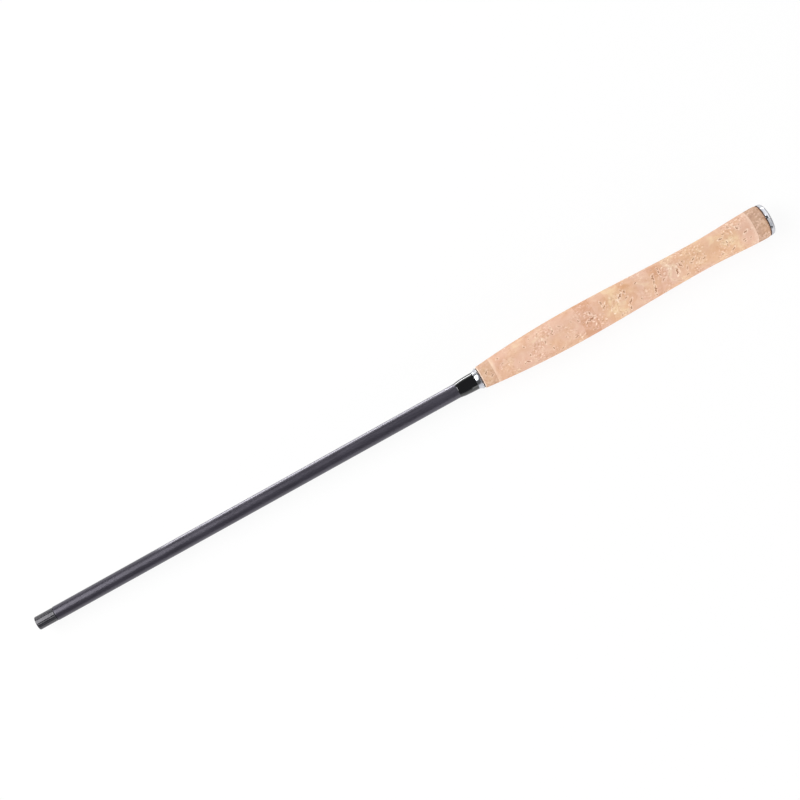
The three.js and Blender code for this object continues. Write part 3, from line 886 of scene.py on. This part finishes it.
def makeButtCap():
    # a flat head with an eased rim over a threaded stud that is hollow for the cushion, with a vent
    # along the axis; the coin slot is cut in afterwards
    g = capShape
    front, face = stationsOf("butt_cap")
    head, crest = reachOf("butt_cap"), threadShape["studCrest"]
    shoulder = face - g["thickness"]
    pocketEnd = stationsOf("butt_cushion")[1] + 0.1
    outline = [(pocketEnd, g["cushion"]), (front + 0.2, g["cushion"]), (front, g["cushion"] + 0.2)]
    outline += [(front, crest - 0.7), (front + 0.5, crest - 0.2)]
    threadStart = len(outline)
    outline += [(s, crest) for s in steps(front + 0.5, shoulder - 0.9, 52)]
    threadEnd = len(outline)
    outline += [(shoulder - 0.8, g["neck"]), (shoulder, g["neck"]), (shoulder, head - g["frontEase"])]
    outline += frontEdge(shoulder, head, g["frontEase"], 4) + rearEdge(face, head, g["ease"], 8)
    outline += [(face, head - 0.9), (face - 0.1, head - 1.1), (face - 0.1, head - 1.3), (face, head - 1.5)]
    outline += [(face, g["vent"]), (pocketEnd, g["vent"])]
    body = turned("cap_body", outline, g["sides"], shape=threadCut(threadStart, threadEnd))
    length, width, depth = g["slot"]
    low = (face - depth + mouthX, -length / 2, axisHeight - width / 2)
    high = (face + 1 + mouthX, length / 2, axisHeight + width / 2)
    mesh = cutAway("screw_cap", body, boxMesh(low, high))
    # painted shade darkens the slot: fully at its floor, not at all at its edge
    points = np.zeros(len(mesh.vertices) * 3, np.float32)
    mesh.vertices.foreach_get("co", points)
    x, y, z = points.reshape(-1, 3).T / mm
    sunk = np.clip((face + mouthX - x) / depth, 0, 1)
    inSlot = (np.abs(z - axisHeight) < width / 2 + 0.05) & (np.abs(y) < length / 2 + 0.05)
    inSlot &= x > face + mouthX - depth - 0.05
    setAttribute(mesh, "glueStainAndSlotShade", g["slotShade"] * sunk * inSlot)
    addPiece(mesh, "cap", "metal", "butt_cap", sharpAngle=28)


cushionShape = {
    "frontEase": 0.7, "rearEase": 0.25, "hollow": 0.12, "hole": 1.0, "holeEase": 0.3, "dents": (0.8, 28, 5),
    "dentDepth": 0.05, "sides": 96,
}


def makeSealAndCushion():
    # a ring of round section under the head, and a soft pad with a rolled rim in the stud
    first, last = stationsOf("butt_o_ring")
    section = (last - first) / 2
    middle = reachOf("butt_o_ring") - section
    ring = arc((first + last) / 2, middle, section, section, 180, -180, 33)[:-1]
    addPiece(turned("cap_seal_ring", ring, 120), "cap_seal", "rubber", "butt_o_ring", sharpAngle=80)
    g = cushionShape
    front, rear = stationsOf("butt_cushion")
    radius, hole, ease = reachOf("butt_cushion"), g["hole"], g["holeEase"]
    along = steps(front + 0.9, rear - 0.3, 14)
    hollow = g["hollow"] * np.sin((along - front) / (rear - front) * math.pi) ** 2
    pad = frontEdge(front, radius, g["frontEase"], 9) + list(zip(along, radius - hollow))
    pad += rearEdge(rear, radius, g["rearEase"], 4)
    pad += [(rear, hole), (front + ease, hole), (front, hole + ease)]

    def shape(stations, radii, angles):
        return radii - g["dentDepth"] * latticeNoise(stations, angles, *g["dents"])

    mesh = turned("cap_cushion", pad, g["sides"], shape=shape)
    addPiece(mesh, "cap", "rubber", "butt_cushion", sharpAngle=50)


makeButtRing()
makeButtCap()
makeSealAndCushion()
report("butt fitting made")


# Inner sections
sectionShape = {
    "taper": 0.0007, "hoop": 12.0, "hoopRise": 0.14, "lip": 0.12, "sides": 72,
    "walls": {
        "second_section": 0.45, "third_section": 0.4, "fourth_section": 0.35, "fifth_section": 0.3,
        "sixth_section": 0.25,
    },
}


def makeSections():
    # each one a straight taper with a hoop at its mouth: the hoop starts on a rounded lip and runs out
    # on a short ramp
    g = sectionShape
    for index, (body, wall) in enumerate(g["walls"].items(), 2):
        cadNode = f"section_{index}"
        front, rear = stationsOf(cadNode)
        butt, rise = reachOf(cadNode), g["hoopRise"]

        def radiusAt(s):
            return butt - g["taper"] * (rear - s)

        end = front + g["hoop"]
        outline = frontEdge(front, radiusAt(front) + rise, g["lip"], 5)
        outline += [(s, radiusAt(s) + rise) for s in steps(front + 0.5, end - 0.6, 12)]
        outline += [(end - 0.3, radiusAt(end) + rise * 0.55), (end, radiusAt(end) + rise * 0.12)]
        outline += [(s, radiusAt(s)) for s in steps(end + 0.6, rear - 0.1, 80)] + [(rear, butt - 0.1)]
        outline += [(s, radiusAt(s) - wall) for s in steps(rear, front, 30)]
        addPiece(turned(f"rod_{cadNode}", outline, g["sides"]), body, "carbon", cadNode)


tipShape = {"radius": 0.36, "ease": 0.2, "sides": 40}


def makeTip():
    # a solid taper, rounded at both ends
    front, rear = stationsOf("tip_section")
    thin, butt, ease = tipShape["radius"], reachOf("tip_section"), tipShape["ease"]
    along = steps(front + 0.6, rear - 0.3, 90)
    outline = arc(front + ease, thin - ease, ease, ease, 175, 90, 5)
    outline += list(zip(along, np.interp(along, (front, rear), (thin, butt))))
    outline += arc(rear - ease, butt - ease, ease, ease, 90, 5, 5)
    mesh = turned("rod_tip", outline, tipShape["sides"], capped=True)
    addPiece(mesh, "tip", "carbon", "tip_section")


lilianShape = {
    "radius": 0.42, "sleeveRadius": 0.57, "knotRadius": 0.7, "knot": 2.2, "strands": 8, "pitch": 2.6,
    "relief": 0.07, "bore": 0.42, "sides": 48,
}


def makeLilian():
    # a braided tube: two sets of strands wind in opposite directions, and the surface follows the
    # higher of their two waves; it widens over the tip and bulges in a knot near its free end
    g = lilianShape
    front, rear = stationsOf("lilian")
    knotEnd, tipFront = front + g["knot"], stationsOf("tip_section")[0]
    along = np.concatenate([steps(front + 0.02, knotEnd, 40), steps(knotEnd + 0.05, rear, 330)])
    radii = np.interp(along, (tipFront - 0.9, tipFront), (g["radius"], g["sleeveRadius"]))
    knot = np.clip(1 - ((along - front - g["knot"] / 2) / (g["knot"] / 2)) ** 2, 0, 1)
    radii = radii + (g["knotRadius"] - g["radius"]) * np.sqrt(knot)
    inner = [(s, g["bore"]) for s in (rear, tipFront + 4, tipFront - 0.3)]
    weave = []

    def shape(stations, radii, angles):
        half = g["strands"] / 2
        phase = 2 * np.pi * half * stations / g["pitch"] / 2
        wave = np.maximum(np.cos(half * angles + phase), np.cos(half * angles - phase)) * 0.5 + 0.5
        wave[-len(inner) :] = 0
        woven = radii - g["relief"] * (1 - wave)
        woven[-len(inner) :] = radii[-len(inner) :]
        weave.append(wave.reshape(-1))
        return woven

    mesh = turned("rod_lilian", list(zip(along, radii)) + inner, g["sides"], capped=True, shape=shape)
    setAttribute(mesh, "weave", np.concatenate([*weave, [0.5, 0.5]]))
    addPiece(mesh, "tip", "cord", "lilian", sharpAngle=70)


makeSections()
makeTip()
makeLilian()
report("inner sections and end cord made")


# Tip plug
plugShape = {
    "radius": 5.25, "ease": 0.85, "flutes": 16, "fluteDepth": 0.1, "runIn": 0.6, "runOut": 0.9,
    "shoulder": -0.22, "shoulderEase": 0.45, "dish": 0.12, "stem": 4.35, "stemEase": 0.5,
    "ribs": (3.2, 6.4, 9.6), "ribRise": 0.16, "ribWidth": 0.32, "pocket": 2.2, "pocketEase": 0.15,
    "pocketDepth": 12.5, "sides": 320,
}


def makePlug():
    # a fluted head with a shallow dish: the radius is drawn in by a wave round the axis, narrow between
    # broad crests, which runs out at the shoulder; the stem carries soft ribs and is hollow for the end
    # cord
    g = plugShape
    front, end = stationsOf("tip_plug")
    radius, shoulder, ease = g["radius"], g["shoulder"], g["shoulderEase"]
    dish, pocket = front + g["dish"], g["pocket"]
    outline = [(dish, 1.6), (dish, 2.2), (front, 2.5), (front, radius - g["ease"])]
    outline += frontEdge(front, radius, g["ease"], 9)[1:]
    outline += [(s, radius) for s in steps(front + g["ease"] + 0.3, shoulder - ease - 0.1, 40)]
    fluted = slice(3, len(outline))
    outline += rearEdge(shoulder, radius, ease, 6) + [(shoulder, g["stem"])]
    stem = steps(shoulder + 0.2, end - g["stemEase"], 80)
    ribs = sum(np.exp(-(((stem - at) / g["ribWidth"]) ** 2)) for at in g["ribs"]) * g["ribRise"]
    outline += list(zip(stem, g["stem"] + ribs)) + rearEdge(end, g["stem"], g["stemEase"], 6)[1:]
    outline += [(end, pocket + g["pocketEase"]), (end - g["pocketEase"], pocket)]
    outline += [(end - g["pocketDepth"], pocket)]

    def shape(stations, radii, angles):
        along = stations[fluted]
        into = np.clip((along - front) / g["runIn"], 0, 1) * np.clip((shoulder - along) / g["runOut"], 0, 1)
        wave = ((1 - np.cos(g["flutes"] * angles[fluted])) / 2) ** 5
        radii[fluted] -= g["fluteDepth"] * wave * np.sqrt(into)
        return radii

    mesh = turned("mouth_plug", outline, g["sides"], capped=True, shape=shape)
    addPiece(mesh, "plug", "plug", "tip_plug", sharpAngle=40)


makePlug()
report("plug made")


# Stage
studio = {
    "floorSize": 8.0,
    "floorFade": (0.06, 0.14),  # where the floor turns fully white, as shares of its size
    "floorColour": 0.86,
    "floorGlow": 0.9,
    "zenith": 0.12,
    "horizon": 0.6,
    # each softbox: its place, its length along the rod and its height, and how bright its face is
    "softboxes": {
        "tipBox": ((-1.1, 0.6, 1.36), (1.2, 1.7), 5.0),
        "sideBox": ((0.68, 0.95, 0.85), (0.5, 2.2), 1.35),
        "buttBox": ((1.15, 0.95, 0.85), (1.9, 2.2), 1.15),
        "backBox": ((0.9, 1.7, 0.13), (1.3, 0.2), 5.5),
        "rimBox": ((-0.0825, 0.028, 0.006), (0.249, 0.012), 7.4),
        "windingBox": ((0.0505, 0.05, 0.004), (0.023, 0.008), 17.0),
        "frontBox": ((1.0, -1.55, 0.5), (2.2, 0.9), 3.2),
        "frontCard": ((0.16, -1.0, 0.24), (0.18, 0.36), 1.4),
        "buttCard": ((1.05, -0.6, 0.9), (1.7, 1.7), 0.66),
        "fillBox": ((0.6, -1.0, 1.6), (2.4, 1.4), 0.7),
    },
    "matt": ("fillBox", "frontBox", "sideBox"),  # lamps that light the rod but don't show in its gloss
    "gloss": ("buttBox", "buttCard", "rimBox", "windingBox"),  # lamps that only show in its gloss
    "square": ("rimBox", "windingBox"),  # lamps that stand square to the rod; the rest face its middle
}


def makeFloor():
    # a pale plane; seen directly or in a reflection it carries part of its white itself, so that the
    # backdrop reads white and still takes the rod's shadow; away from the rod it is all its own white
    half = studio["floorSize"] / 2
    mesh = bpy.data.meshes.new("floor")
    corners = [(-half, -half, 0), (half, -half, 0), (half, half, 0), (-half, half, 0)]
    mesh.from_pydata(corners, [], [(0, 1, 2, 3)])
    floor = addObject("floor", mesh)
    made, tree, shader = newMaterial("pale_floor")
    surface = shader.outputs[0].links[0].to_socket
    tree.nodes.remove(shader)
    rays = tree.nodes.new("ShaderNodeLightPath").outputs
    seen = calc(tree, "MAXIMUM", rays["Is Camera Ray"], rays["Is Glossy Ray"])
    seen = calc(tree, "MAXIMUM", seen, rays["Is Transmission Ray"])
    paper = addNode(tree, "BsdfDiffuse", Color=linear(studio["floorColour"])).outputs[0]
    dimPaper = addNode(tree, "BsdfDiffuse", Color=linear(1 - studio["floorGlow"])).outputs[0]
    glow = addNode(tree, "Emission", Color="#ffffff", Strength=studio["floorGlow"]).outputs[0]
    near = addNode(tree, "AddShader", i0=dimPaper, i1=glow).outputs[0]
    far = addNode(tree, "Emission", Color="#ffffff", Strength=1.0).outputs[0]
    place = tree.nodes.new("ShaderNodeTexCoord").outputs["Object"]
    fromRod = addNode(tree, "VectorMath", {"operation": "LENGTH"}, i0=place).outputs["Value"]
    away = calc(tree, "DIVIDE", fromRod, studio["floorSize"])
    fade = shade(tree, away, 0.0, 1.0, *studio["floorFade"])
    backdrop = addNode(tree, "MixShader", i0=fade, i1=near, i2=far).outputs[0]
    tree.links.new(addNode(tree, "MixShader", i0=seen, i1=paper, i2=backdrop).outputs[0], surface)
    mesh.materials.append(made)


def makeWorld():
    # white where it meets the floor and dark overhead, as a studio is, so that metal has both to reflect
    world = bpy.data.worlds.new("studio")
    world.use_nodes = True
    tree = world.node_tree
    tree.nodes.clear()
    out = tree.nodes.new("ShaderNodeOutputWorld")
    direction = tree.nodes.new("ShaderNodeTexCoord").outputs["Generated"]
    up = addNode(tree, "SeparateXYZ", i0=direction).outputs[2]
    level = ramp(tree, up, [(0.0, 1.0), (0.03, 1.0), (0.1, studio["horizon"]), (0.3, studio["zenith"])])
    rays = tree.nodes.new("ShaderNodeLightPath").outputs
    level = blendColours(tree, rays["Is Camera Ray"], level, "#ffffff")
    tree.links.new(addNode(tree, "Background", i0=level, i1=1.0).outputs[0], out.inputs["Surface"])
    bpy.context.scene.world = world


def makeLamps():
    # softboxes over both ends and along both sides; a lamp's power is its brightness times its area
    # times pi
    for name, (at, size, bright) in studio["softboxes"].items():
        data = bpy.data.lights.new(name, "AREA")
        data.shape = "RECTANGLE"
        data.size, data.size_y = size
        data.energy = bright * size[0] * size[1] * math.pi
        toRod = -Vector(at)
        if name in studio["square"]:
            toRod.x = 0
        right = Vector((1, 0, 0)) - toRod * (toRod.x / toRod.length_squared)
        lamp = addObject(name, data)
        lamp.matrix_world = standing(Vector(at), right.normalized(), -toRod.normalized())
        lamp.visible_camera = False
        lamp.visible_glossy = name not in studio["matt"]
        lamp.visible_diffuse = name not in studio["gloss"]


makeFloor()
makeWorld()
makeLamps()
bpy.context.scene.view_settings.view_transform = "Standard"
report("stage set")
